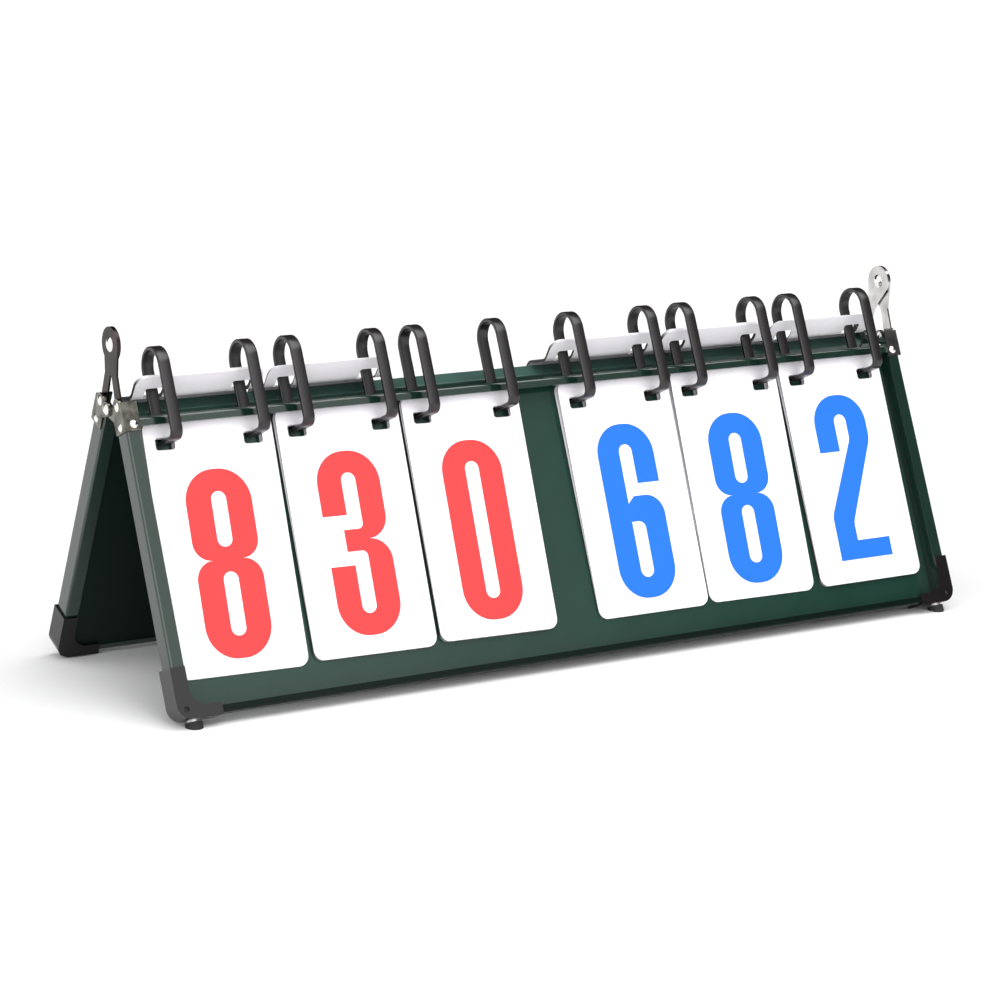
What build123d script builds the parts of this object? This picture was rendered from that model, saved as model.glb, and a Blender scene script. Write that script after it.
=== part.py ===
"""Tabletop flip scoreboard: two framed panels hinged along the top edge, numbered leaves hung on rings.

Millimetres, +Z up, length along X, front towards -Y, feet on Z = 0.
Each panel has its own plane: local x runs along the length, local -y down the slope and local z out of
the panel.  Below, d is a distance down the slope from the line where both panel planes meet, and e is a
depth measured outwards from the panel's rear face.
"""
import os
from math import atan, cos, degrees, radians, sin

from build123d import *

os.makedirs("parts", exist_ok=True)

# ---------------------------------------------------------------- driving sizes
TILT = 23.8             # lean of each panel from upright
DEPTH = 13.0            # panel thickness, rear face to front face
SIDE_W = 8.5            # width of a side rail
BOTTOM_D = 197.0        # lower end of both panels
LIP_H = 4.5             # height of the bottom rail
FRONT_TOP_D = 17.8      # upper edge of the front panel
BACK_TOP_D = 16.8       # upper edge of the back panel
TOP_RAIL_H = 6.0        # front top rail, seen from the front
BACK_RAIL_H = 9.0
CHANNEL_E = 11.2        # inner side of the lip that hides the leaves' upper edges
ROOF = 2.0              # front top rail above the leaves' upper edges
TOP_ROUND = 2.5         # upper front edge of the top rails
REAR_ROUND = 0.8
REAR_STEP = 0.8         # board and top rails stand this far inside the rear face
BOARD_T = 1.6           # board thickness
BOARD_TOP_D = 22.0      # upper edge of both boards
TONGUE = 3.0            # depth of the board in the side grooves
LIP_TONGUE = 2.0        # depth of the board in the bottom groove
LONG_ROUND = 1.5        # rounding of the rails' outer long edges
OVERCUT = 10.0          # cutters reach this far past the surface they open
FOOT_REACH = 202.5      # slope distance from the crossing line down to the table
FOOT_E = 6.5            # depth of the feet in the panel thickness
FOOT_EDGE = 11.0        # feet from the frame's sides

LEAF_W = 85.0           # one numbered leaf
LEAF_TOP_D = 21.3
LEAF_END_GAP = 21.5     # lower edge of the leaves to the panels' lower end
LEAF_T = 0.3
LEAF_R = 6.5
LEAVES_A_SIDE = 3
LEAF_GAP = 3.0          # between neighbouring rows
MIDDLE = 30.6           # bare board between the two sides' rows
LEAF_SIDE = 13.7        # from the outermost rows to the frame's side
DRIFT = -1.2            # leaves hang this far to the left, as far as their holes allow
SKEW = (1.2, 1.0, 1.2, 0.3, 0.8, 0.1)   # each row hangs a little askew, degrees
UNDER = (1, 6, 9, 3, 1, 7)      # leaves still lying under the one on show
FLIPPED = (8, 3, 0, 6, 8, 2)    # leaves turned over the back
HOLE_W = 12.5
HOLE_H = 7.4
HOLE_R = 1.8
HOLE_DROP = 14.2        # hole centre below the leaf's upper edge
REST_GAP = 0.1          # paper-thin gap between leaves and what they lie on

RING_INSET = 13.5       # middle of a ring from the side of its leaf
RING_W = 7.5
RING_T = 2.4
RING_BACK_E = -0.4      # middle of the ring's back leg
RING_FRONT_E = 22.8     # middle of its front leg
RING_BAR_D = 34.0       # middle of its lower bar
RING_TOP_D = -10.4      # centre of the half round top
RING_BEND_F = 5.0       # bends at the lower corners, middle of the strip
RING_BEND_B = 3.0

PIVOT_Z = -9.5          # hinge pins below the crossing line, midway between the panels
EAR_R = 4.4             # ear round the hinge pin
EAR_ROOT = (17.0, 4.5)  # d, e where the ear joins the side plate
EAR_ROOT_R = 3.2
PLATE = 1.2             # chromed steel thickness
LAYER = 0.1             # gap between plates that turn on one another
PIN_R = 2.0
PIN_PLAY = 0.05
PIN_HEAD_R = 3.4
PIN_HEAD = 1.5          # outer head of a hinge pin
PIN_HEAD_IN = 1.3
ARM_D = 10.5            # lower pivot of a stay arm
ARM_E = 8.0
ARM_END_R = 3.9
ARM_R = 3.4              # half the width of the shank below the head
FOOT_BOSS_R = 4.9        # side plate round the arm's lower pin
APEX_Z = 29.0           # upper pivot of the stay arms above the crossing line
APEX_R = 10.5
NECK = 19.0             # below the apex, where the head has narrowed to the shank
APEX_PIN_R = 2.5
APEX_PLAY = 0.5
APEX_HEAD_R = 4.5
APEX_HEAD = 1.6
APEX_HEAD_IN = 1.4
FLANGE_END_D = 26.6

FLANGE_W = 10.4         # front flange of a bracket
FLANGE_TOP_D = 9.0
PLATE_E = 1.0           # side plate's inner edge, from the rear face
EAR_STEP_E = 1.5        # the stepped ear meets its side plate from here outwards

GUARD_WALL = 1.2        # corner guard
GUARD_REACH = 27.5      # along the bottom, from the frame's side
GUARD_RISE = 30.0       # up the side, from the panel's lower end
GUARD_ROUND = 8.0
GUARD_SIDE = 9.7        # width of the guard's upright arm
GUARD_LOW = 7.5         # height of its level arm
GUARD_INNER = 10.0      # concave corner between the arms
GUARD_HOLE = (4.5, 4.8) # hole in the guard's face, from the frame's side and lower end
GUARD_HOLE_R = 1.75

RIVET_R = 1.2           # shank of the bracket rivets
RIVET_DEEP = 3.0
RIVET_HEAD_R = 2.6
RIVET_HEAD = 1.1
FACE_RIVET_EDGE = 5.2   # rivet in the front flange, from the frame's side
FACE_RIVET_D = 22.4
SIDE_RIVET = (23.0, 8.0)        # d, e on the side plate
ARM_PIN_R = 1.6
ARM_HEAD_R = 2.9
ARM_HEAD = 0.9          # outer head of an arm's lower pin
ARM_HEAD_IN = 1.1
STUD_R = 1.5            # foot screws
STUD_DEEP = 3.5
STUD_HEAD = 1.2
STUD_HEAD_R = 4.0
PAD_R = 5.25            # rubber feet
PAD_LONG = 9.0          # before they are cut level

LIFT_D = 22.6           # line a shown leaf turns on when its lower edge is lifted
LIFT_E = 7.5
HOOK_D = 3.2            # where turned leaves hang on the rings' back legs
CROSS_D = 16.2          # where they bend down over the back rail
FLIP_END_D = 132.0
FLIP_GAP = 0.3
STAND = 30.0            # lean of a turned leaf's upper edge, towards the front
HOOK_BACK = 0.9         # outer face of a turned stack behind the ring leg's middle
HOOK_RUN = 2.0          # straight part below the hook
BEND_UP = 7.0           # bends of a turned stack
BEND_DOWN = 6.0
FLIP_HOLE_RISE = 0.5    # hole's middle above the hook
FLIP_HOLE_R = 1.5
FLIP_HOLE = 10.4        # opening through a bent stack, long enough for it to swing
SLOT_H = 4.6            # ring slots in the front board
SLOT_PLAY = 0.3         # on each side of a ring

# ---------------------------------------------------------------- derived sizes
HALF = MIDDLE / 2 + LEAVES_A_SIDE * (LEAF_W + LEAF_GAP) - LEAF_GAP + LEAF_SIDE  # half the length
S, C = sin(radians(TILT)), cos(radians(TILT))
ZH = FOOT_REACH * C - FOOT_E * S
PIVOT = (-PIVOT_Z * C, PIVOT_Z * S)     # d, e of the hinge pins, alike in both panels
FRONT = Plane(origin=(0, 0, ZH), x_dir=(1, 0, 0), z_dir=(0, -C, S))
BACK = Plane(origin=(0, 0, ZH), x_dir=(-1, 0, 0), z_dir=(0, C, S))
BOARD_E = REAR_STEP + BOARD_T
IN_U = HALF - SIDE_W
SKIN = HALF + PLATE                     # outer face of the bracket side plates
FOOT_U = HALF - FOOT_EDGE
FACE_RIVET = (HALF - FACE_RIVET_EDGE, FACE_RIVET_D)
GUARD_U = HALF - GUARD_REACH
GUARD_D = BOTTOM_D - GUARD_RISE
LEAF_END_D = BOTTOM_D - LEAF_END_GAP
RING_U = LEAF_W / 2 - RING_INSET
RIGHT_U = [(MIDDLE + LEAF_W) / 2 + (LEAF_W + LEAF_GAP) * place for place in range(LEAVES_A_SIDE)]
LEAF_U = [-u for u in reversed(RIGHT_U)] + RIGHT_U
GUARD_END = BOTTOM_D + GUARD_WALL
FRONT_ARM_X = HALF - LAYER              # outer faces of the stay arms
BACK_ARM_X = FRONT_ARM_X - PLATE - LAYER
SLOT_D = RING_BAR_D + RING_T / 2 - SLOT_H / 2


def yz(panel, d, e):
    """World Y and Z of the panel position d, e."""
    spot = panel.from_local_coords((0, -d, e))
    return (spot.Y, spot.Z)


def across(panel, d):
    """Plane across the slope at d: local x is the panel's x, local y is e, normal down the slope."""
    spot = panel.from_local_coords((0, -d, 0))
    return Plane(origin=spot, x_dir=panel.x_dir, z_dir=-panel.y_dir)


def side_on(panel, u):
    """Plane across the length at u: local x is d, local y is e, normal against the panel's x."""
    spot = panel.from_local_coords((u, 0, 0))
    return Plane(origin=spot, x_dir=-panel.y_dir, z_dir=-panel.x_dir)


def world_side(x):
    """Plane across X: local x is Y, local y is Z, normal +X."""
    return Plane(origin=(x, 0, 0), x_dir=(0, 1, 0), z_dir=(1, 0, 0))


def near(x, y):
    """Filter for sketch corners at one local position."""
    return lambda v: abs(v.X - x) < 0.01 and abs(v.Y - y) < 0.01


def slope_of(panel, shape):
    return -panel.to_local_coords(shape.center()).Y


def save(builder, name):
    builder.part.label = name
    export_step(builder.part, f"parts/{name}.step")


# ---------------------------------------------------------------- panel frames
def side_rail(panel, side, top_d, name):
    """Upright rail, grooved for the board, its lower outer corner round to suit the guard."""
    with BuildPart() as rail:
        with BuildSketch(panel) as outline:
            with Locations((side * (HALF - SIDE_W / 2), -(top_d + BOTTOM_D) / 2)):
                Rectangle(SIDE_W, BOTTOM_D - top_d)
            fillet(outline.vertices().filter_by(near(side * HALF, -BOTTOM_D)), radius=GUARD_ROUND)
        extrude(amount=DEPTH)
        upright = rail.edges().filter_by(Axis((0, 0, 0), tuple(panel.y_dir)))
        outer = upright.filter_by(lambda s: abs(abs(s.center().X) - HALF) < 0.01)
        fillet(outer, radius=LONG_ROUND)
        with BuildSketch(panel.offset(REAR_STEP)):
            with Locations((side * (IN_U + (TONGUE - OVERCUT) / 2), -(top_d + BOTTOM_D) / 2)):
                Rectangle(TONGUE + OVERCUT, BOTTOM_D - top_d + OVERCUT)
        extrude(amount=BOARD_T, mode=Mode.SUBTRACT)
        with BuildSketch(panel.offset(DEPTH)):
            with Locations((side * FACE_RIVET[0], -FACE_RIVET[1])):
                Circle(RIVET_R)
        extrude(amount=-RIVET_DEEP, mode=Mode.SUBTRACT)
        with BuildSketch(side_on(panel, side * HALF)):
            with Locations(SIDE_RIVET):
                Circle(RIVET_R)
        extrude(amount=side * RIVET_DEEP, mode=Mode.SUBTRACT)
    save(rail, name)


def top_rail(panel, outline, name):
    """Top rail between the side rails, its upper front edge well rounded."""
    top_d = outline[1][0]
    with BuildPart() as rail:
        with BuildSketch(side_on(panel, 0)) as profile:
            with BuildLine():
                Polyline(*outline, close=True)
            make_face()
            fillet(profile.vertices().filter_by(near(top_d, DEPTH)), radius=TOP_ROUND)
            fillet(profile.vertices().filter_by(near(top_d, REAR_STEP)), radius=REAR_ROUND)
        extrude(amount=IN_U, both=True)
    save(rail, name)


def bottom_rail(panel, name):
    """Low lip that closes the frame; it holds the board's lower edge and the foot screws."""
    with BuildPart() as rail:
        with BuildSketch(side_on(panel, 0)) as profile:
            with Locations((BOTTOM_D - LIP_H / 2, DEPTH / 2)):
                Rectangle(LIP_H, DEPTH)
            fillet(profile.vertices().filter_by(lambda v: v.X > BOTTOM_D - 0.01), radius=LONG_ROUND)
            with Locations((BOTTOM_D - LIP_H + LIP_TONGUE / 2, REAR_STEP + BOARD_T / 2)):
                Rectangle(LIP_TONGUE, BOARD_T, mode=Mode.SUBTRACT)
        extrude(amount=IN_U, both=True)
        with BuildSketch(across(panel, BOTTOM_D)):
            with Locations((-FOOT_U, FOOT_E), (FOOT_U, FOOT_E)):
                Circle(STUD_R)
        extrude(amount=-STUD_DEEP, mode=Mode.SUBTRACT)
    save(rail, name)


def board(panel, slotted, name):
    """Thin board held in the frame's grooves; the front one is slotted for the rings."""
    end_d = BOTTOM_D - LIP_H + LIP_TONGUE
    with BuildPart() as sheet:
        with BuildSketch(panel.offset(REAR_STEP)):
            with Locations((0, -(BOARD_TOP_D + end_d) / 2)):
                Rectangle(2 * (IN_U + TONGUE), end_d - BOARD_TOP_D)
            for u in slotted:
                with Locations((u - RING_U, -SLOT_D), (u + RING_U, -SLOT_D)):
                    Rectangle(RING_W + 2 * SLOT_PLAY, SLOT_H, mode=Mode.SUBTRACT)
        extrude(amount=BOARD_T)
    save(sheet, name)


# ---------------------------------------------------------------- corner guards and feet
def guard(panel, side, name):
    """Plastic cup over a lower corner: L shaped faces with a concave inner corner, joined by walls."""
    edge = HALF + GUARD_WALL
    knee = edge - GUARD_SIDE
    with BuildPart() as cup:
        with BuildSketch(panel.offset(-GUARD_WALL)) as face:
            with BuildLine():
                Polyline((side * edge, -GUARD_D), (side * edge, -GUARD_END), (side * GUARD_U, -GUARD_END),
                         (side * GUARD_U, GUARD_LOW - GUARD_END), (side * knee, GUARD_LOW - GUARD_END),
                         (side * knee, -GUARD_D), close=True)
            make_face()
            fillet(face.vertices().filter_by(near(side * knee, GUARD_LOW - GUARD_END)), radius=GUARD_INNER)
            fillet(face.vertices().filter_by(near(side * edge, -GUARD_END)), radius=GUARD_ROUND + GUARD_WALL)
        extrude(amount=DEPTH + 2 * GUARD_WALL)
        with BuildSketch(panel) as hollow:
            with Locations((side * (HALF - GUARD_RISE), GUARD_RISE - BOTTOM_D)):
                Rectangle(2 * GUARD_RISE, 2 * GUARD_RISE)
            fillet(hollow.vertices().filter_by(near(side * HALF, -BOTTOM_D)), radius=GUARD_ROUND)
        extrude(amount=DEPTH, mode=Mode.SUBTRACT)
        with BuildSketch(panel.offset(DEPTH)):
            with Locations((side * (HALF - GUARD_HOLE[0]), GUARD_HOLE[1] - BOTTOM_D)):
                Circle(GUARD_HOLE_R)
        extrude(amount=GUARD_WALL, mode=Mode.SUBTRACT)
        with BuildSketch(across(panel, BOTTOM_D)):
            with Locations((side * FOOT_U, FOOT_E)):
                Circle(STUD_R)
        extrude(amount=GUARD_WALL, mode=Mode.SUBTRACT)
    save(cup, name)


def foot_screws(panel, name):
    """Steel screws with washer heads that clamp the guards and carry the rubber feet."""
    with BuildPart() as screws:
        with BuildSketch(across(panel, GUARD_END)):
            with Locations((-FOOT_U, FOOT_E), (FOOT_U, FOOT_E)):
                Circle(STUD_HEAD_R)
        extrude(amount=STUD_HEAD)
        with BuildSketch(across(panel, BOTTOM_D - STUD_DEEP)):
            with Locations((-FOOT_U, FOOT_E), (FOOT_U, FOOT_E)):
                Circle(STUD_R)
        extrude(amount=STUD_DEEP + GUARD_WALL)
    save(screws, name)


def feet(panel, name):
    """Rubber pads under the screws, cut level with the table."""
    with BuildPart() as pads:
        with BuildSketch(across(panel, GUARD_END + STUD_HEAD)):
            with Locations((-FOOT_U, FOOT_E), (FOOT_U, FOOT_E)):
                Circle(PAD_R)
        extrude(amount=PAD_LONG)
        split(bisect_by=Plane.XY, keep=Keep.TOP)
    save(pads, name)


# ---------------------------------------------------------------- leaves and rings
def leaf_outline():
    """One leaf with two oval holes, drawn on the current sketch, its origin on the lifting line."""
    with Locations((0, LIFT_D - (LEAF_TOP_D + LEAF_END_D) / 2)):
        RectangleRounded(LEAF_W, LEAF_END_D - LEAF_TOP_D, LEAF_R)
    hole_y = LIFT_D - LEAF_TOP_D - HOLE_DROP
    with Locations((-RING_U, hole_y), (RING_U, hole_y)):
        RectangleRounded(HOLE_W, HOLE_H, HOLE_R, mode=Mode.SUBTRACT)


def leaf_plane(u, d, e, lean, skew):
    """Plane of a leaf: local x across it, local y up it, turned by its lean and by its skew."""
    seat = FRONT.from_local_coords((u, -d, e))
    upright = Plane(origin=seat, x_dir=FRONT.x_dir, z_dir=FRONT.z_dir)
    return Plane(upright.location * Rot(lean, 0, 0) * Rot(0, 0, -skew))


def leaf_stack(number, u, count):
    """Leaves not yet turned, lying flat on the board."""
    with BuildPart() as stack:
        with BuildSketch(leaf_plane(u, LIFT_D, BOARD_E + REST_GAP, 0, SKEW[number - 1])):
            leaf_outline()
        extrude(amount=count * LEAF_T)
    save(stack, f"leaf_stack_{number}")


def shown_leaf(number, u, count):
    """The leaf on show: its top sits in the rail's channel, its lower edge on the leaves below."""
    low_e = BOARD_E + 2 * REST_GAP + (count + 0.5) * LEAF_T
    lean = degrees(atan((LIFT_E - low_e) / (LEAF_END_D - LIFT_D)))
    with BuildPart() as leaf:
        with BuildSketch(leaf_plane(u, LIFT_D, LIFT_E, lean, SKEW[number - 1])):
            leaf_outline()
        extrude(amount=LEAF_T / 2, both=True)
    save(leaf, f"shown_leaf_{number}")


def flipped_stack(number, u, count):
    """Turned leaves: hooked on the rings' back legs, bent over the back rail, hanging down outside."""
    thick = count * LEAF_T
    up = Vector(-sin(radians(STAND)), cos(radians(STAND)))
    out = Vector(cos(radians(STAND)), sin(radians(STAND)))
    hook = Vector(*yz(FRONT, HOOK_D, RING_BACK_E))
    base = hook - out * HOOK_BACK
    over = Vector(*yz(BACK, CROSS_D, DEPTH + FLIP_GAP))
    end = Vector(*yz(BACK, FLIP_END_D, DEPTH + FLIP_GAP))
    with BuildPart() as stack:
        with BuildSketch(world_side(u)):
            with BuildLine() as path:
                Polyline(base + up * HOLE_DROP, base - up * HOOK_RUN, over, end)
                fillet(path.vertices().sort_by(Axis.Y)[2], radius=BEND_UP)
                fillet(path.vertices().sort_by(Axis.Y)[1], radius=BEND_DOWN)
                offset(amount=thick, side=Side.LEFT)
            make_face()
        extrude(amount=LEAF_W / 2, both=True)
        fillet(stack.edges().filter_by(lambda s: abs(s.length - thick) < 0.001), radius=LEAF_R)
        spot = hook + up * FLIP_HOLE_RISE
        cut = Plane(origin=(u, spot.X, spot.Y), x_dir=(1, 0, 0), z_dir=(0, out.X, out.Y))
        with BuildSketch(cut):
            with Locations((-RING_U, 0), (RING_U, 0)):
                RectangleRounded(HOLE_W, FLIP_HOLE, FLIP_HOLE_R)
        extrude(amount=OVERCUT, both=True, mode=Mode.SUBTRACT)
    save(stack, f"flipped_leaves_{number}")


def ring_pair(number, u):
    """Two closed loops of flat strip: half round top, straight legs, lower bar through the board."""
    mid_e = (RING_BACK_E + RING_FRONT_E) / 2
    half = (RING_FRONT_E - RING_BACK_E + RING_T) / 2
    low = RING_BAR_D + RING_T / 2
    with BuildPart() as rings:
        with BuildSketch(side_on(FRONT, u - RING_U), side_on(FRONT, u + RING_U)) as loop:
            with Locations(((RING_TOP_D + low) / 2, mid_e)):
                Rectangle(low - RING_TOP_D, 2 * half)
            fillet(loop.vertices().filter_by(near(low, mid_e + half)), radius=RING_BEND_F + RING_T / 2)
            fillet(loop.vertices().filter_by(near(low, mid_e - half)), radius=RING_BEND_B + RING_T / 2)
            with Locations((RING_TOP_D, mid_e)):
                Circle(half)
            offset(amount=-RING_T, mode=Mode.SUBTRACT)
        extrude(amount=RING_W / 2, both=True)
    save(rings, f"rings_{number}")


# ---------------------------------------------------------------- hinges and stays
def bracket(panel, side, joggled, name):
    """Chromed corner plate: front flange, side plate and the ear that takes the hinge pin."""
    with BuildPart() as plate:
        with BuildSketch(panel.offset(DEPTH)):
            with Locations((side * (SKIN - FLANGE_W / 2), -(FLANGE_TOP_D + FLANGE_END_D) / 2)):
                Rectangle(FLANGE_W, FLANGE_END_D - FLANGE_TOP_D)
            with Locations((side * FACE_RIVET[0], -FACE_RIVET[1])):
                Circle(RIVET_R, mode=Mode.SUBTRACT)
        extrude(amount=PLATE)
        with BuildSketch(side_on(panel, side * HALF)):
            with Locations(((ARM_D + FLANGE_END_D) / 2, (PLATE_E + DEPTH + PLATE) / 2)):
                Rectangle(FLANGE_END_D - ARM_D, DEPTH + PLATE - PLATE_E)
            with Locations((ARM_D, ARM_E)):
                Circle(FOOT_BOSS_R)
            with Locations(((FLANGE_TOP_D + ARM_D) / 2, (ARM_E + DEPTH + PLATE) / 2)):
                Rectangle(ARM_D - FLANGE_TOP_D, DEPTH + PLATE - ARM_E)
            with Locations(SIDE_RIVET):
                Circle(RIVET_R, mode=Mode.SUBTRACT)
        extrude(amount=-side * PLATE)
        with BuildSketch(side_on(panel, side * (SKIN + LAYER if joggled else HALF))):
            ear_outline()
        extrude(amount=-side * PLATE)
        if joggled:
            with BuildSketch(side_on(panel, side * HALF)):
                ear_outline()
                with Locations((0, EAR_STEP_E - HALF / 2)):
                    Rectangle(HALF, HALF, mode=Mode.SUBTRACT)
            extrude(amount=-side * (2 * PLATE + LAYER))
        with BuildSketch(side_on(panel, 0)):
            with Locations(PIVOT):
                Circle(PIN_R + (PIN_PLAY if joggled else 0))
            with Locations((ARM_D, ARM_E)):
                Circle(ARM_PIN_R)
        extrude(amount=-side * 2 * HALF, mode=Mode.SUBTRACT)
    save(plate, name)


def ear_outline():
    """Ear from the side plate to the hinge pin: the hull of two circles."""
    with Locations(PIVOT):
        Circle(EAR_R)
    with Locations(EAR_ROOT):
        Circle(EAR_ROOT_R)
    make_hull()


def on_rail(panel, side, reach, spot, away=1):
    """Plane across the length at spot (d, e) and reach from the middle, facing outwards or inwards."""
    origin = panel.from_local_coords((side * reach, -spot[0], spot[1]))
    return Plane(origin=origin, x_dir=panel.y_dir, z_dir=panel.x_dir * side * away)


def on_face(panel, u, d):
    """Plane on the outer face of a front flange."""
    origin = panel.from_local_coords((u, -d, DEPTH + PLATE))
    return Plane(origin=origin, x_dir=panel.x_dir, z_dir=panel.z_dir)


def round_parts(heads, shafts, name):
    """Group of pins or rivets: shafts along their planes' normals and domed heads standing on them."""
    with BuildPart() as group:
        for plane, radius, length in shafts:
            with BuildSketch(plane):
                Circle(radius)
            extrude(amount=length)
        for plane, radius, height in heads:
            ball_r = (radius ** 2 + height ** 2) / (2 * height)
            section = Plane(origin=plane.origin, x_dir=plane.x_dir, z_dir=-plane.y_dir)
            with BuildSketch(section):
                with Locations((0, height - ball_r)):
                    Circle(ball_r)
                with Locations((radius / 2, height / 2)):
                    Rectangle(radius, height, mode=Mode.INTERSECT)
            revolve(axis=Axis(section.origin, section.y_dir))
    save(group, name)


def frame_rivets(panel, name):
    """Rivets that fix the brackets: one through each front flange, one through each side plate."""
    heads, shafts = [], []
    for side in (-1, 1):
        for plane in (on_face(panel, side * FACE_RIVET[0], FACE_RIVET[1]),
                      on_rail(panel, side, SKIN, SIDE_RIVET)):
            heads.append((plane, RIVET_HEAD_R, RIVET_HEAD))
            shafts.append((plane, RIVET_R, -(RIVET_DEEP + PLATE)))
    round_parts(heads, shafts, name)


def hinge_pins():
    """Pins riveted in the front ears; the back ears turn on them."""
    out = SKIN + 2 * LAYER + PLATE
    heads, shafts = [], []
    for side in (-1, 1):
        heads.append((on_rail(FRONT, side, out, PIVOT), PIN_HEAD_R, PIN_HEAD))
        heads.append((on_rail(FRONT, side, HALF, PIVOT, -1), PIN_HEAD_R, PIN_HEAD_IN))
        shafts.append((on_rail(FRONT, side, HALF, PIVOT), PIN_R, out - HALF))
    round_parts(heads, shafts, "hinge_pins")


def arm_pins(panel, outer_x, name):
    """Pins that join the stay arms to the side plates; a collar fills the space behind the arm."""
    spot = (ARM_D, ARM_E)
    inner = outer_x - PLATE - LAYER
    heads, shafts = [], []
    for side in (-1, 1):
        heads.append((on_rail(panel, side, inner, spot, -1), ARM_HEAD_R, ARM_HEAD_IN))
        heads.append((on_rail(panel, side, SKIN, spot), ARM_HEAD_R, ARM_HEAD))
        shafts.append((on_rail(panel, side, inner, spot), ARM_PIN_R, SKIN - inner))
        shafts.append((on_rail(panel, side, outer_x + LAYER / 2, spot), ARM_HEAD_R, HALF - outer_x - LAYER / 2))
    round_parts(heads, shafts, name)


def apex_rivet(side, name):
    """Rivet fixed in the front arm; the back arm's larger hole turns on it."""
    inner = BACK_ARM_X - PLATE - LAYER
    spot = (-APEX_Z * C, APEX_Z * S)
    heads = [(on_rail(FRONT, side, FRONT_ARM_X, spot), APEX_HEAD_R, APEX_HEAD),
             (on_rail(FRONT, side, inner, spot, -1), APEX_HEAD_R, APEX_HEAD_IN)]
    shafts = [(on_rail(FRONT, side, inner, spot), APEX_PIN_R, FRONT_ARM_X - inner)]
    round_parts(heads, shafts, name)


def arm(panel, side, outer_x, apex_hole, name):
    """Stay arm: plain lower end, straight shank and a broad round head at the upper pivot."""
    foot = Vector(*yz(panel, ARM_D, ARM_E))
    apex = Vector(0, ZH + APEX_Z)
    neck = apex + (foot - apex).normalized() * NECK
    with BuildPart() as stay:
        with BuildSketch(world_side(side * outer_x)) as blade:
            with Locations(apex):
                Circle(APEX_R)
            with Locations(neck):
                Circle(ARM_R)
            make_hull()
            with BuildSketch(mode=Mode.PRIVATE) as shank:
                with Locations(neck):
                    Circle(ARM_R)
                with Locations(foot):
                    Circle(ARM_END_R)
                make_hull()
            add(shank.sketch)
            with Locations(apex):
                Circle(apex_hole, mode=Mode.SUBTRACT)
            with Locations(foot):
                Circle(ARM_PIN_R + PIN_PLAY, mode=Mode.SUBTRACT)
        extrude(amount=-side * PLATE)
    save(stay, name)


# ---------------------------------------------------------------- assembly
FRONT_TOP = [(FRONT_TOP_D, REAR_STEP), (FRONT_TOP_D, DEPTH), (FRONT_TOP_D + TOP_RAIL_H, DEPTH),
             (FRONT_TOP_D + TOP_RAIL_H, CHANNEL_E), (FRONT_TOP_D + ROOF, CHANNEL_E),
             (FRONT_TOP_D + ROOF, BOARD_E), (BOARD_TOP_D, BOARD_E), (BOARD_TOP_D, REAR_STEP)]
BACK_TOP = [(BACK_TOP_D, REAR_STEP), (BACK_TOP_D, DEPTH), (BACK_TOP_D + BACK_RAIL_H, DEPTH),
            (BACK_TOP_D + BACK_RAIL_H, BOARD_E), (BOARD_TOP_D, BOARD_E), (BOARD_TOP_D, REAR_STEP)]

for panel, face, top_d, outline, slotted in ((FRONT, "front", FRONT_TOP_D, FRONT_TOP, LEAF_U),
                                             (BACK, "back", BACK_TOP_D, BACK_TOP, ())):
    for world, hand in ((-1, "left"), (1, "right")):
        side = world * round(panel.x_dir.X)
        side_rail(panel, side, top_d, f"{face}_{hand}_rail")
        guard(panel, side, f"{face}_{hand}_guard")
        bracket(panel, side, face == "back", f"{face}_{hand}_bracket")
    top_rail(panel, outline, f"{face}_top_rail")
    bottom_rail(panel, f"{face}_bottom_rail")
    board(panel, slotted, f"{face}_board")
    foot_screws(panel, f"{face}_foot_screws")
    feet(panel, f"{face}_feet")
    frame_rivets(panel, f"{face}_rivets")

hinge_pins()
for side, hand in ((-1, "left"), (1, "right")):
    arm(FRONT, side, FRONT_ARM_X, APEX_PIN_R, f"front_{hand}_arm")
    arm(BACK, side, BACK_ARM_X, APEX_PIN_R + APEX_PLAY, f"back_{hand}_arm")
    apex_rivet(side, f"{hand}_apex_rivet")
arm_pins(FRONT, FRONT_ARM_X, "front_arm_pins")
arm_pins(BACK, BACK_ARM_X, "back_arm_pins")

for number, u in enumerate(LEAF_U, start=1):
    ring_pair(number, u)
    leaf_stack(number, u + DRIFT, UNDER[number - 1])
    shown_leaf(number, u + DRIFT, UNDER[number - 1])
    if FLIPPED[number - 1] > 0:
        flipped_stack(number, u, FLIPPED[number - 1])
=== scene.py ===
# %% [markdown]
# # A tabletop flip scoreboard
#
# The real object is a small easel for a games table: two green framed panels joined along their top
# edge, with six rows of white number leaves hung on flat black rings. A leaf is turned over the top
# to show the next number. The solid model gives every piece its true size and place, so this lesson
# loads it first and only adds what a solid model can't show: ink, polish, grain and light.

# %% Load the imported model
import math

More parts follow.
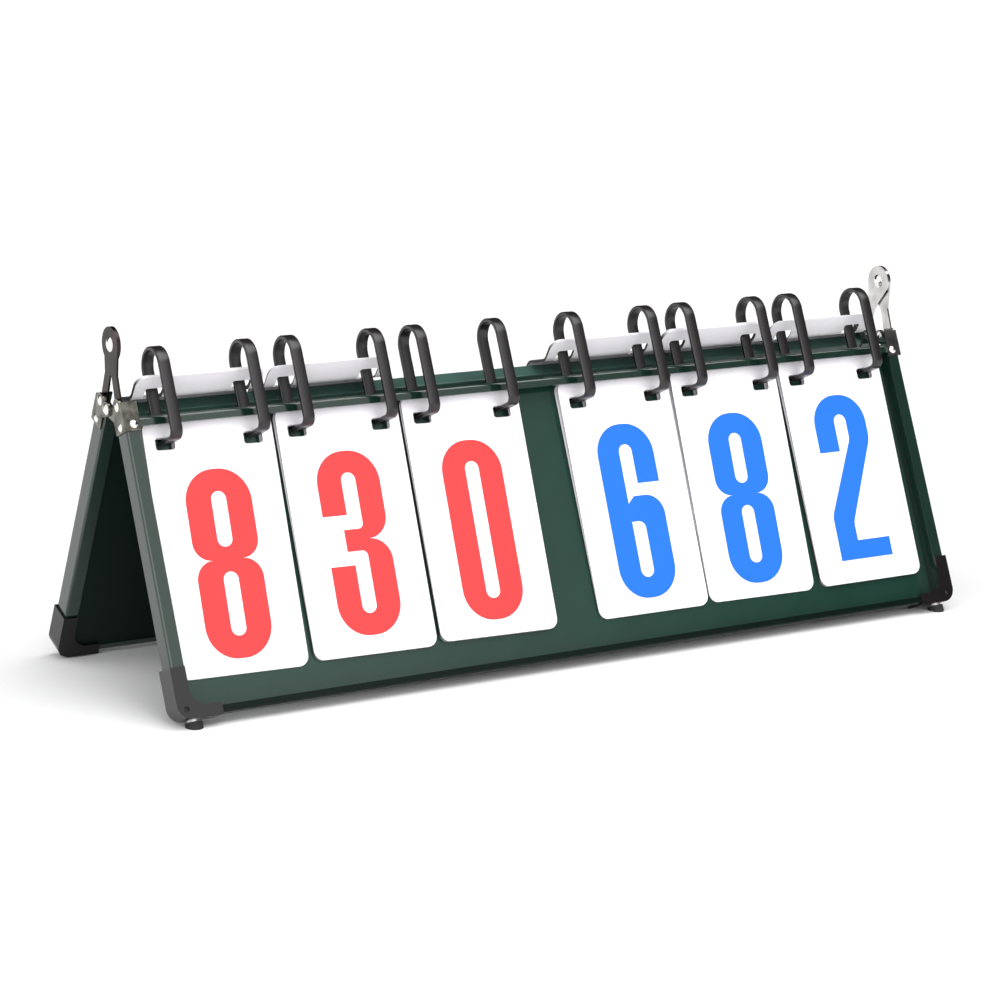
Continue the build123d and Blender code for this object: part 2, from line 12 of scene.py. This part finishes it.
import bpy
import numpy as np
from mathutils import Matrix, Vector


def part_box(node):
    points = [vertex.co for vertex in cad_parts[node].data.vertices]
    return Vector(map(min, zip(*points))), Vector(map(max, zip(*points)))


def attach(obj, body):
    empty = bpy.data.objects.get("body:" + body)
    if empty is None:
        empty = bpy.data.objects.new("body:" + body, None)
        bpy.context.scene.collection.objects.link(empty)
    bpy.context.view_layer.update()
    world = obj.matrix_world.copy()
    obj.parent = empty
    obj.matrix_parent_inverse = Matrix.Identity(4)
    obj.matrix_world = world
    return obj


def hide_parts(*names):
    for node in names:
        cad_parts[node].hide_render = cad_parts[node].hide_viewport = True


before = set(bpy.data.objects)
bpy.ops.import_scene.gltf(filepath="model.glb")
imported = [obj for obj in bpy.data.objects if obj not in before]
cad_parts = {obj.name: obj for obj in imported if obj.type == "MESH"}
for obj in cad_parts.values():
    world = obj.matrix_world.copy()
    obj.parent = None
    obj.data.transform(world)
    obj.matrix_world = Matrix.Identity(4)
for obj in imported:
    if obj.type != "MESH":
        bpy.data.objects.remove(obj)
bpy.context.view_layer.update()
print("nodes in the packed model:", len(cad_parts))

# %% [markdown]
# ## Working on a leaning panel
#
# Both panels lean, so world coordinates are awkward for them. Three panel coordinates are easier:
# u runs along the length, d down the slope from the line where the panels' rear faces would meet,
# and e outwards from the rear face. One function turns whole arrays of them into metres.

# %% Panel coordinates
MM = 0.001
TILT = math.radians(23.8)       # lean of each panel from upright
HINGE_DROP = 9.5                # hinge pins below the line where the panel planes meet, mm
pins_low, pins_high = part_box("hinge_pins")
CROSS_Z = (pins_low[2] + pins_high[2]) / 2 + HINGE_DROP * MM


def on_panel(u, d, e, face=-1):
    """World point of panel position u, d, e in millimetres.

    Down the slope is -Z turned by the tilt, outwards is at a right angle to it; face is -1 for the
    front panel and 1 for the back one.
    """
    u, d, e = np.broadcast_arrays(*(np.asarray(v, float) for v in (u, d, e)))
    reach = d * math.sin(TILT) + e * math.cos(TILT)
    rise = e * math.sin(TILT) - d * math.cos(TILT)
    return np.stack([u * MM, face * reach * MM, CROSS_Z + rise * MM], axis=-1)


print("line where the panels meet:", round(CROSS_Z / MM, 1), "mm above the table")

# %% [markdown]
# ## From a grid of points to a mesh
#
# Every new piece here is a grid of points: one direction goes along the piece, the other goes round
# or across it. Neighbouring points make four-sided faces. If the grid closes on itself in a
# direction, the last points join the first; if it only closes round, flat faces cap its two ends.

# %% Grid to mesh
def volume_of(points, quads):
    """Signed volume: the sum over all triangles of (a x b) . c / 6.

    It is positive if the faces look outwards.
    """
    a, b, c, d = (points[quads[:, i]] for i in range(4))
    first = np.einsum("ij,ij->i", np.cross(a, b), c)
    second = np.einsum("ij,ij->i", np.cross(a, c), d)
    return (first + second).sum() / 6


def grid_faces(rows, cols, round_rows, round_cols):
    """Corner numbers of the faces between neighbouring grid points.

    A direction that is closed wraps: its last points join its first.
    """
    r = np.arange(rows if round_rows else rows - 1)[:, None]
    c = np.arange(cols if round_cols else cols - 1)[None, :]
    below, beside = (r + 1) % rows, (c + 1) % cols
    return np.stack([r * cols + c, r * cols + beside, below * cols + beside, below * cols + c],
                    axis=-1).reshape(-1, 4)


def mesh_piece(name, grids, material, closed=False, smooth=True):
    """One object from several grids of points, each closed round its columns.

    closed says that the rows join up too, as in a ring; otherwise both ends get a cap.
    """
    points, faces, start = [], [], 0
    for grid in grids:
        rows, cols = grid.shape[:2]
        flat = grid.reshape(-1, 3)
        quads = grid_faces(rows, cols, closed, True)
        centred = flat - flat.mean(axis=0)
        inside_out = volume_of(centred, quads) < 0
        caps = [] if closed else [np.arange(cols)[::-1], np.arange(cols) + (rows - 1) * cols]
        if inside_out:
            quads = quads[:, ::-1]
            caps = [cap[::-1] for cap in caps]
        faces += (quads + start).tolist() + [(cap + start).tolist() for cap in caps]
        points.append(flat)
        start += len(flat)
    mesh = bpy.data.meshes.new(name)
    mesh.from_pydata(np.concatenate(points).tolist(), [], faces)
    mesh.polygons.foreach_set("use_smooth", [smooth] * len(mesh.polygons))
    mesh.materials.append(material)
    piece = bpy.data.objects.new(name, mesh)
    bpy.context.scene.collection.objects.link(piece)
    return piece

# %% [markdown]
# ## Paths with rounded corners
#
# Bent strip, its section and the digits all follow paths made of straight legs and arcs. A path is
# a short list of corners, each with its radius. The arc that is tangent to both legs starts at
# radius / tan(half the angle) from the corner, and its centre is on the line that halves the angle.

# %% Rounded paths
ARC_STEPS = 10


def corner_arc(before, corner, after, radius, steps):
    """Points of the arc that rounds one corner, tangent to the legs on both sides of it."""
    to_before = (before - corner) / np.linalg.norm(before - corner)
    to_after = (after - corner) / np.linalg.norm(after - corner)
    half_angle = math.acos(np.clip(to_before @ to_after, -1, 1)) / 2
    middle = (to_before + to_after) / np.linalg.norm(to_before + to_after)
    centre = corner + middle * radius / math.sin(half_angle)
    start = corner + to_before * radius / math.tan(half_angle) - centre
    end = corner + to_after * radius / math.tan(half_angle) - centre
    turn = np.arctan2(start[0] * end[1] - start[1] * end[0], start @ end)
    angle = np.linspace(0, turn, steps)
    return centre + np.stack([start[0] * np.cos(angle) - start[1] * np.sin(angle),
                              start[0] * np.sin(angle) + start[1] * np.cos(angle)], axis=-1)


def rounded(corners, closed=False, steps=ARC_STEPS):
    """Points along a path of (x, y, radius) corners; a radius of 0 leaves a sharp corner."""
    spots = np.array([corner[:2] for corner in corners], float)
    count = len(corners)
    runs = []
    for i, (_, _, radius) in enumerate(corners):
        open_end = not closed and i in (0, count - 1)
        if open_end or radius == 0:
            runs.append(spots[i:i + 1])
        else:
            runs.append(corner_arc(spots[i - 1], spots[i], spots[(i + 1) % count], radius, steps))
    return np.concatenate(runs)

# %% [markdown]
# ## Finishes
#
# A finish is a Principled shader with a little life in it: real plastic and paint are never quite
# even. Noise in object coordinates makes slow patches of colour and roughness, and a finer noise
# bends the surface very slightly, as moulded or painted skins do. On the chrome, strong patches of
# colour are painted reflections. Faces that look sideways can get painted shade: the square of the
# normal's X is 1 on faces that look sideways and 0 on all the others.

# %% Material helper
ROUGH_SPREAD = 0.15     # roughness varies by this share
GRAIN_DETAIL = 4


def finish(name, colour, rough, metal=0.0, shine=0.5, patch=0.15, patch_scale=40.0, edge=0.5,
           grain=0.0, grain_scale=900.0, grain_deep=0.1, painted_side_shade=1.0):
    """Procedural material: colour and roughness vary by patch, grain is the bump's strength.

    The patches are noise stretched about its middle value, so a small edge makes them sharp:
    amount = (noise - (0.5 - edge)) / (2 * edge), kept between 0 and 1. As painted shade, the colour
    of faces that look along X is multiplied by the side shade factor, in proportion to the square
    of the normal's X.
    """
    material = bpy.data.materials.new(name)
    material.use_nodes = True
    nodes, links = material.node_tree.nodes, material.node_tree.links
    shader = nodes["Principled BSDF"]
    shader.inputs["Metallic"].default_value = metal
    shader.inputs["Specular IOR Level"].default_value = shine
    where = nodes.new("ShaderNodeTexCoord")
    patches = nodes.new("ShaderNodeTexNoise")
    patches.inputs["Scale"].default_value = patch_scale
    links.new(where.outputs["Object"], patches.inputs["Vector"])
    amount = nodes.new("ShaderNodeMapRange")
    amount.inputs["From Min"].default_value = 0.5 - edge
    amount.inputs["From Max"].default_value = 0.5 + edge
    links.new(patches.outputs["Fac"], amount.inputs["Value"])
    tint = nodes.new("ShaderNodeMix")
    tint.data_type = "RGBA"
    tint.inputs["A"].default_value = (*(c * (1 - patch) for c in colour), 1)
    tint.inputs["B"].default_value = (*(min(c * (1 + patch), 1) for c in colour), 1)
    links.new(amount.outputs["Result"], tint.inputs["Factor"])
    # Painted shade: faces that look along X get a darker colour.
    shade = nodes.new("ShaderNodeMix")
    shade.data_type = "RGBA"
    shade.blend_type = "MULTIPLY"
    shade.inputs["B"].default_value = (painted_side_shade, painted_side_shade, painted_side_shade, 1)
    turned = nodes.new("ShaderNodeSeparateXYZ")
    sideways = nodes.new("ShaderNodeMath")
    sideways.operation = "MULTIPLY"
    links.new(where.outputs["Normal"], turned.inputs["Vector"])
    links.new(turned.outputs["X"], sideways.inputs[0])
    links.new(turned.outputs["X"], sideways.inputs[1])
    links.new(sideways.outputs["Value"], shade.inputs["Factor"])
    links.new(tint.outputs["Result"], shade.inputs["A"])
    links.new(shade.outputs["Result"], shader.inputs["Base Color"])
    gloss = nodes.new("ShaderNodeMapRange")
    gloss.inputs["To Min"].default_value = rough * (1 - ROUGH_SPREAD)
    gloss.inputs["To Max"].default_value = min(rough * (1 + ROUGH_SPREAD), 1)
    links.new(patches.outputs["Fac"], gloss.inputs["Value"])
    links.new(gloss.outputs["Result"], shader.inputs["Roughness"])
    if grain:
        fine = nodes.new("ShaderNodeTexNoise")
        fine.inputs["Scale"].default_value = grain_scale
        fine.inputs["Detail"].default_value = GRAIN_DETAIL
        bump = nodes.new("ShaderNodeBump")
        bump.inputs["Strength"].default_value = grain
        bump.inputs["Distance"].default_value = grain_deep * MM
        links.new(where.outputs["Object"], fine.inputs["Vector"])
        links.new(fine.outputs["Fac"], bump.inputs["Height"])
        links.new(bump.outputs["Normal"], shader.inputs["Normal"])
    return material

# %% [markdown]
# ### The finishes of this scoreboard
#
# The rails and boards are dark bottle-green plastic with a clear shine. Three parts of it are
# painted for light and shade: the board of the back panel and the lip at the front's foot are
# painted nearly black for shade, and the rim between both panels is painted paler for the light
# on it. Guards, feet and rings are black, each with its own gloss; the back guards are painted
# darker for shade. The leaves are matt white plastic film, whose cut edges are painted dark for the
# shade between leaves. Brackets, stay arms and rivets are chromed steel with painted reflections:
# dark at the left end, clear at the right end, in patches on the brackets, and brightest on the
# rivet heads. The foot screws are plain zinc.
#
# A node takes its finish from its own name if the table has it, or else from its last known word.

# %% The finishes
green_rail = finish("green_rail_plastic", (0.006, 0.022, 0.015), 0.15, shine=0.85, grain=0.1)
green_board = finish("green_board_sheet", (0.010, 0.038, 0.027), 0.13, shine=0.55, grain=0.1)
# Painted light: the rim between the panels is made paler to stand for light falling on it.
painted_light_rim = finish("painted_light_rim_plastic", (0.042, 0.095, 0.078), 0.3, shine=0.6, grain=0.15)
# Painted shade: the lip at the front's foot is made near black for the shade under it.
painted_shade_lip = finish("painted_shade_lip_plastic", (0.002, 0.007, 0.005), 0.2, shine=0.16, grain=0.1)
# Painted shade: the back board is darker than the front one for the shade inside the easel.
painted_shade_board = finish("painted_shade_board_sheet", (0.003, 0.010, 0.0075), 0.5, shine=0.15, grain=0.2)
black_guard = finish("black_guard_plastic", (0.007, 0.0055, 0.006), 0.16, shine=0.65, grain=0.1)
# Painted shade: the back guards are darker than the front ones.
painted_shade_guard = finish("painted_shade_guard_plastic", (0.003, 0.0035, 0.003), 0.3, shine=0.35, grain=0.2)
black_rubber = finish("black_foot_rubber", (0.02, 0.02, 0.02), 0.75, shine=0.3, grain=0.3)
black_ring = finish("black_ring_strip", (0.010, 0.008, 0.009), 0.3, shine=0.6, grain=0.12)
# The leaves' cut edges are painted dark: painted shade for the gaps between leaves.
white_film = finish("white_leaf_film", (0.86, 0.845, 0.88), 0.55, shine=0.3, patch=0.01,
                    painted_side_shade=0.04)
zinc_screw = finish("zinc_screw_steel", (0.5, 0.5, 0.5), 0.35, metal=1.0, patch=0.08)
bright_chrome = finish("bright_chrome_steel", (0.85, 0.83, 0.80), 0.12, metal=1.0, patch=0.1)
# Painted reflection: the left arms are dark, with patches, as if they mirrored dark surroundings.
painted_dark_reflection_chrome = finish("painted_dark_reflection_steel", (0.036, 0.028, 0.026), 0.3, metal=1.0, patch=0.5,
                     patch_scale=70.0, edge=0.2)
# Painted reflection: the right arms and brackets are pale, with patches, as if they mirrored a
# bright wall.
painted_bright_reflection_chrome = finish("painted_bright_reflection_steel", (0.56, 0.545, 0.54), 0.15, metal=1.0, patch=0.3,
                      patch_scale=70.0, edge=0.2)
# Painted reflection: sharp dark and bright patches on the left brackets stand for chrome
# reflections.
patchy_painted_reflection_chrome = finish("painted_reflection_plated_steel", (0.15, 0.145, 0.125), 0.22, metal=1.0, patch=0.6,
                      patch_scale=130.0, edge=0.15)

FINISH_OF = {"rail": green_rail, "board": green_board, "guard": black_guard, "feet": black_rubber,
             "rings": black_ring, "leaf": white_film, "leaves": white_film, "screws": zinc_screw,
             "bracket": patchy_painted_reflection_chrome, "arm": patchy_painted_reflection_chrome, "pins": bright_chrome,
             "rivet": bright_chrome, "rivets": bright_chrome,
             "back_left_guard": painted_shade_guard, "back_right_guard": painted_shade_guard,
             "back_board": painted_shade_board, "front_bottom_rail": painted_shade_lip, "back_top_rail": painted_light_rim,
             "front_left_arm": painted_dark_reflection_chrome, "back_left_arm": painted_dark_reflection_chrome,
             "front_right_arm": painted_bright_reflection_chrome, "back_right_arm": painted_bright_reflection_chrome,
             "front_right_bracket": painted_bright_reflection_chrome, "back_right_bracket": painted_bright_reflection_chrome}


def dress(node, material):
    """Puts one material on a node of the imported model."""
    node.data.materials.clear()
    node.data.materials.append(material)


for name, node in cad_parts.items():
    kind = next(word for word in reversed(name.split("_")) if word in FINISH_OF)
    dress(node, FINISH_OF.get(name, FINISH_OF[kind]))
print("finishes:", len(set(m.name for m in FINISH_OF.values())))

# %% [markdown]
# ## Flat rings
#
# Each leaf hangs on two closed loops bent from flat black strip: a half-round top, two straight
# legs and a lower bar that passes through the leaf and the board. A rounded rectangle carried along
# the bent path gives the soft edges of the real strip, which a plain block would lack.

# %% Rings of flat strip
RING_W, RING_T, RING_EDGE = 7.5, 2.4, 0.7       # strip width, thickness and edge rounding
RING_BACK_E, RING_FRONT_E = -0.4, 22.8          # depth of the back and front legs, mid strip
RING_ARCH_D, RING_BAR_D = -10.4, 34.0           # where the half-round top starts; the lower bar
RING_BEND_FRONT, RING_BEND_BACK = 5.0, 3.0
LEAF_COUNT = 6


def strip_section(width, thick, edge, steps=4):
    """Rounded rectangle, thick by width, as (out, across) points."""
    x, y = thick / 2, width / 2
    return rounded([(x, -y, edge), (x, y, edge), (-x, y, edge), (-x, -y, edge)], True, steps)


def bent_strip(u, path, section):
    """Section carried round a closed path in the (d, e) plane.

    point = path + out * normal + across * u
    """
    ahead = np.roll(path, -1, axis=0) - np.roll(path, 1, axis=0)
    ahead /= np.linalg.norm(ahead, axis=1, keepdims=True)
    normal = np.stack([ahead[:, 1], -ahead[:, 0]], axis=-1)
    d = path[:, None, 0] + normal[:, None, 0] * section[None, :, 0]
    e = path[:, None, 1] + normal[:, None, 1] * section[None, :, 0]
    return on_panel(u + section[None, :, 1], d, e)


arch = (RING_FRONT_E - RING_BACK_E) / 2
RING_PATH = rounded([(RING_BAR_D, RING_BACK_E, RING_BEND_BACK),
                     (RING_ARCH_D - arch, RING_BACK_E, arch * 0.999),
                     (RING_ARCH_D - arch, RING_FRONT_E, arch * 0.999),
                     (RING_BAR_D, RING_FRONT_E, RING_BEND_FRONT)], closed=True, steps=14)
RING_SECTION = strip_section(RING_W, RING_T, RING_EDGE)

for number in range(1, LEAF_COUNT + 1):
    low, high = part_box(f"rings_{number}")
    ends = (low[0] / MM + RING_W / 2, high[0] / MM - RING_W / 2)
    loops = [bent_strip(u, RING_PATH, RING_SECTION) for u in ends]
    rings = mesh_piece(f"ring_loops_{number}", loops, black_ring, closed=True)
    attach(rings, "front_panel")
    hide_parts(f"rings_{number}")
    print("rings", number, "at", [round(u, 1) for u in ends])

# %% [markdown]
# ## Plugs behind the guards' holes
#
# Each front corner guard has a small round hole in its face. A flat black disc closes the bottom of
# the hole, so it looks black, not green. The disc is a ring with a pinhole, so it closes in both
# directions.

# %% Discs in the holes
GUARD_HOLE_U, GUARD_HOLE_D = 285.5, 192.2
DISC_R, PINHOLE_R = 1.65, 0.03
DISC_E, DISC_T = 13.03, 0.3     # on the rail's face, thinner than the guard's wall
DISC_STEPS = 24
around_disc = np.linspace(0, 2 * np.pi, DISC_STEPS, endpoint=False)[:, None]
disc_r = np.array([PINHOLE_R, DISC_R, DISC_R, PINHOLE_R])
disc_e = DISC_E + np.array([0, 0, DISC_T, DISC_T])
for side_name, middle_u in (("left", -GUARD_HOLE_U), ("right", GUARD_HOLE_U)):
    hole_disc = mesh_piece(f"guard_hole_disc_{side_name}",
                      [on_panel(middle_u + disc_r * np.cos(around_disc),
                                GUARD_HOLE_D + disc_r * np.sin(around_disc), disc_e)],
                      black_rubber, closed=True, smooth=False)
    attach(hole_disc, "front_panel")
print("hole_discs:", DISC_R * 2, "mm across")

# %% [markdown]
# ## Printed digits
#
# The numbers are plain narrow numerals, printed in red for one side and blue for the other. A font
# would bring someone else's letter shapes, so each digit is drawn as a band between two paths: one
# along the outer side of the stroke and one along the inner side, with matching corners. The band
# is a film a few hundredths of a millimetre thick on the leaf, which keeps it clear of the white
# surface below. Digit paths are in millimetres: x from the digit's middle, y down from its top.

# %% Digit paths
W = 21.7                # half the width of a digit
STROKE = 16.8           # width of an upright stroke
IN = W - STROKE         # half the width of a counter
TALL = 113.8            # height of a digit
CAP = 13.5              # thickness of a stroke across the top or bottom
R, r = 20.0, 4.8        # rounding of the outer and inner corners

WAIST = 54.6
EIGHT = [([(-W, 0, R), (W, 0, R), (W, WAIST, 11.5), (-W, WAIST, 11.5)],
          [(-IN, CAP, r), (IN, CAP, r), (IN, 47, r), (-IN, 47, r)], True),
         ([(-W, WAIST, 12), (W, WAIST, 12), (W, TALL, R), (-W, TALL, R)],
          [(-IN, 62, r), (IN, 62, r), (IN, TALL - CAP, r), (-IN, TALL - CAP, r)], True)]
ZERO = [([(-W, 0, R), (W, 0, R), (W, TALL, R), (-W, TALL, R)],
         [(-IN, CAP, r), (IN, CAP, r), (IN, TALL - CAP, r), (-IN, TALL - CAP, r)], True)]
THREE = [([(-W, 39.5, 0), (-W, 0, R), (W, 0, R), (W, 55, 14), (-8.7, 55, 0)],
          [(-IN, 39.5, 0), (-IN, CAP, r), (IN, CAP, r), (IN, 48.5, 3.5), (-8.7, 48.5, 0)], False),
         ([(-8.7, 55, 0), (W, 55, 14), (W, TALL, R), (-W, TALL, R), (-W, 70.5, 0)],
          [(-8.7, 62, 0), (IN, 62, 3.5), (IN, TALL - CAP, r), (-IN, TALL - CAP, r),
           (-IN, 70.5, 0)], False)]
SIX = [([(W, 39.5, 0), (W, 0, R), (-W, 0, R), (-W, TALL, R), (W, TALL, R), (W, 47.5, 13),
         (0, 47.5, 0), (-IN, 52, 0)],
        [(IN, 39.5, 0), (IN, CAP, r), (-IN, CAP, r), (-IN, TALL - CAP, r), (IN, TALL - CAP, r),
         (IN, 64, r), (0, 64, 0), (-IN, 64, 0)], False)]
TWO = [([(-W, 38.5, 0), (-W, 0, R), (W, 0, R), (W, 32, 18), (-5, 87, 12), (-5, 99.5, 0),
         (W, 99.5, 0)],
        [(-IN, 38.5, 0), (-IN, CAP, r), (IN, CAP, r), (IN, 31, 8), (-W, 81.5, 14), (-W, 112.2, 0),
         (W, 112.2, 0)], False)]
SHOWN = (EIGHT, THREE, ZERO, SIX, EIGHT, TWO)
TOPS = (52.5, 50.2, 51.8, 52.0, 52.5, 48.2)     # top of each digit down the panel's slope

# %% [markdown]
# The leaf on show leans a little against the ones below it, so its plane is measured, not assumed:
# the direction in which its points spread least is its normal.

# %% Digits on the leaves
INK_T = 0.05            # thickness of the ink film, mm
INK_LIFT = 0.01         # its underside above the leaf
SHARP_R = 0.2           # stands for a sharp corner whose partner is round, so both have an arc
LEAN_MOST, LEAN_STEP = 3.0, 0.1     # degrees searched for a leaf's own skew
RED_LEAVES = 3
red_ink = finish("red_number_ink", (0.80, 0.048, 0.050), 0.5, shine=0.3, patch=0.01)
blue_ink = finish("blue_number_ink", (0.011, 0.150, 0.76), 0.5, shine=0.3, patch=0.01)


def leaf_axes(node):
    """Middle, across, down, outward normal and half thickness of a leaf, from its own vertices.

    The normal is the direction in which the points spread least. The leaf's outline is longer than
    it is wide, so across is the direction, turned about the normal in small steps, in which the
    box round the outline is narrowest, and down is at a right angle to both.
    """
    points = np.empty(len(node.data.vertices) * 3)
    node.data.vertices.foreach_get("co", points)
    points = points.reshape(-1, 3)
    normal = np.linalg.svd(points - points.mean(axis=0), full_matrices=False)[2][2]
    normal *= -np.sign(normal[1])
    level = np.cross((1.0, 0.0, 0.0), normal)
    level /= np.linalg.norm(level)
    side = np.cross(normal, level)
    angles = np.radians(np.arange(-LEAN_MOST, LEAN_MOST + LEAN_STEP / 2, LEAN_STEP))
    across = np.cos(angles)[:, None] * side + np.sin(angles)[:, None] * level
    across = across[np.argmin(np.ptp(points @ across.T, axis=0))]
    across *= np.sign(across[0])
    down = np.cross(across, normal)
    axes = np.stack([across, down, normal])
    spread = points @ axes.T
    middle = ((spread.min(axis=0) + spread.max(axis=0)) / 2) @ axes
    return middle, across, down, normal, np.ptp(spread[:, 2]) / 2


def ink_band(outer, inner, closed, place):
    """Film between two matching paths.

    The four edges of its section run inner, inner, outer, outer.
    """
    round_too = [max(o[2], i[2]) > 0 for o, i in zip(outer, inner)]
    out_path, in_path = (rounded([(*corner[:2], corner[2] or SHARP_R * both)
                                  for corner, both in zip(path, round_too)], closed)
                         for path in (outer, inner))
    flat = np.stack([in_path, in_path, out_path, out_path], axis=1)
    height = np.broadcast_to(np.array([INK_LIFT, INK_T, INK_T, INK_LIFT]), flat.shape[:2])
    return place(flat[..., 0], flat[..., 1], height)


for number, (digit, top_d) in enumerate(zip(SHOWN, TOPS), start=1):
    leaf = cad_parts[f"shown_leaf_{number}"]
    middle, across, down, normal, half = leaf_axes(leaf)
    top_point = on_panel(middle[0] / MM, top_d, 0)
    drop = (top_point - middle) @ down

    def place(x, y, height, middle=middle, across=across, down=down, normal=normal, half=half,
              drop=drop):
        """World point on this leaf: x across, y down, height above its face, in millimetres."""
        return (middle + x[..., None] * MM * across
                + (y[..., None] * MM + drop) * down + (height[..., None] * MM + half) * normal)

    closed = digit[0][2]
    ink = mesh_piece(f"printed_digit_{number}", [ink_band(*band, place) for band in digit],
                     red_ink if number <= RED_LEAVES else blue_ink, closed=closed, smooth=False)
    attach(ink, f"leaf_{number}")
    lean = round(math.degrees(math.asin(normal[2])), 2)
    print("digit", number, "on a leaf leaning", lean, "degrees")

# %% [markdown]
# ## Floor, light and camera
#
# A pale floor and a wide lamp almost overhead give a soft shadow under the easel, as in a studio. A
# weaker lamp in front lights the leaves. The sky is a pale wall at the front left and dark on the
# other side, so faces that mirror the wall look grey and the others keep their deep green. What
# lies behind the floor's edge is plain white, which the Light Path node shows only where a view
# looks straight at it.

# %% Floor
FLOOR_HALF = 30.0
FLOOR_GREY, FLOOR_ROUGH = 0.9, 0.9
floor_mesh = bpy.data.meshes.new("floor")
floor_mesh.from_pydata([(x * FLOOR_HALF, y * FLOOR_HALF, 0)
                        for x, y in ((-1, -1), (1, -1), (1, 1), (-1, 1))], [], [(0, 1, 2, 3)])
floor = bpy.data.objects.new("floor", floor_mesh)
bpy.context.scene.collection.objects.link(floor)
floor_paint = bpy.data.materials.new("pale_floor")
floor_paint.use_nodes = True
floor_shader = floor_paint.node_tree.nodes["Principled BSDF"]
floor_shader.inputs["Base Color"].default_value = (FLOOR_GREY, FLOOR_GREY, FLOOR_GREY, 1)
floor_shader.inputs["Roughness"].default_value = FLOOR_ROUGH
floor_mesh.materials.append(floor_paint)
print("floor:", 2 * FLOOR_HALF, "m wide")

# %% [markdown]
# ### The sky
#
# How much of the pale wall a direction sees is its dot product with the wall's own direction,
# stretched so that the change from dark to pale takes only a few degrees.

# %% Sky
SKY_STRENGTH = 1.15
WALL_SIDE = (-0.822, -0.57, 0.0)        # the pale half of the sky is at the front left
WALL_FROM, WALL_TO = -0.10, 0.04        # dot products where it starts and where it is full
DARK_SIDE = 0.04                        # brightness of the other half
scene = bpy.context.scene
scene.view_settings.view_transform = "Standard"
world = bpy.data.worlds.new("soft_sky")
scene.world = world
world.use_nodes = True
sky_nodes, sky_links = world.node_tree.nodes, world.node_tree.links
sky = sky_nodes["Background"]
sky.inputs["Strength"].default_value = SKY_STRENGTH
around = sky_nodes.new("ShaderNodeTexCoord")
side = sky_nodes.new("ShaderNodeVectorMath")
side.operation = "DOT_PRODUCT"
side.inputs[1].default_value = WALL_SIDE
walls = sky_nodes.new("ShaderNodeMapRange")
walls.inputs["From Min"].default_value = WALL_FROM
walls.inputs["From Max"].default_value = WALL_TO
walls.inputs["To Min"].default_value = DARK_SIDE
sky_links.new(around.outputs["Generated"], side.inputs[0])
sky_links.new(side.outputs["Value"], walls.inputs["Value"])
sky_links.new(walls.outputs["Result"], sky.inputs["Color"])
backdrop = sky_nodes.new("ShaderNodeBackground")
backdrop.inputs["Color"].default_value = (1, 1, 1, 1)
backdrop.inputs["Strength"].default_value = 1.0
ray = sky_nodes.new("ShaderNodeLightPath")
seen = sky_nodes.new("ShaderNodeMixShader")
sky_links.new(ray.outputs["Is Camera Ray"], seen.inputs["Fac"])
sky_links.new(sky.outputs["Background"], seen.inputs[1])
sky_links.new(backdrop.outputs["Background"], seen.inputs[2])
sky_links.new(seen.outputs["Shader"], sky_nodes["World Output"].inputs["Surface"])
print("sky nodes:", len(sky_nodes))

# %% [markdown]
# ### Lamps
#
# A sun lamp has no place, only a direction. A wide one gives the soft shadows of a large softbox.

# %% Lamps
KEY_STRENGTH, KEY_SPREAD, KEY_FROM = 1.9, math.radians(50), (0.3, -0.3, 1.0)
FILL_STRENGTH, FILL_SPREAD, FILL_FROM = 1.0, math.radians(60), (-0.3, -1.0, 0.45)


def facing(place, toward):
    """World matrix of a lamp or camera at a place that looks along a direction, kept level."""
    back = -np.array(toward, float) / np.linalg.norm(toward)
    right = np.cross((0, 0, 1), back)
    right /= np.linalg.norm(right)
    axes = np.stack([right, np.cross(back, right), back], axis=1)
    return Matrix.Translation(place) @ Matrix(axes.tolist()).to_4x4()


for name, strength, spread, place in (("key_sun", KEY_STRENGTH, KEY_SPREAD, KEY_FROM),
                                      ("fill_sun", FILL_STRENGTH, FILL_SPREAD, FILL_FROM)):
    light = bpy.data.lights.new(name, "SUN")
    light.energy = strength
    light.angle = spread
    sun = bpy.data.objects.new(name, light)
    scene.collection.objects.link(sun)
    sun.matrix_world = facing(place, -np.array(place))
    print(name, "at strength", strength)

# %% [markdown]
# ### Camera
#
# The camera stands low at the front left, with a long lens, so the rails stay nearly parallel.

# %% Camera
CAMERA_PLACE = (-1.0269993, -1.5822130, 0.5183784)
CAMERA_RIGHT = (0.845106, -0.534214, 0.020283)
CAMERA_DOWN = (-0.102298, -0.198837, -0.974679)
CAMERA_AHEAD = (0.524720, 0.821632, -0.222688)
LENS, SENSOR = 108, 36      # mm
camera_data = bpy.data.cameras.new("camera")
camera_data.lens, camera_data.sensor_width = LENS, SENSOR
camera = bpy.data.objects.new("camera", camera_data)
scene.collection.objects.link(camera)
turn = np.stack([CAMERA_RIGHT, -np.array(CAMERA_DOWN), -np.array(CAMERA_AHEAD)], axis=1)
camera.matrix_world = Matrix.Translation(CAMERA_PLACE) @ Matrix(turn.tolist()).to_4x4()
scene.camera = camera
print("camera", round(float(np.linalg.norm(CAMERA_PLACE)), 2), "m from the part")
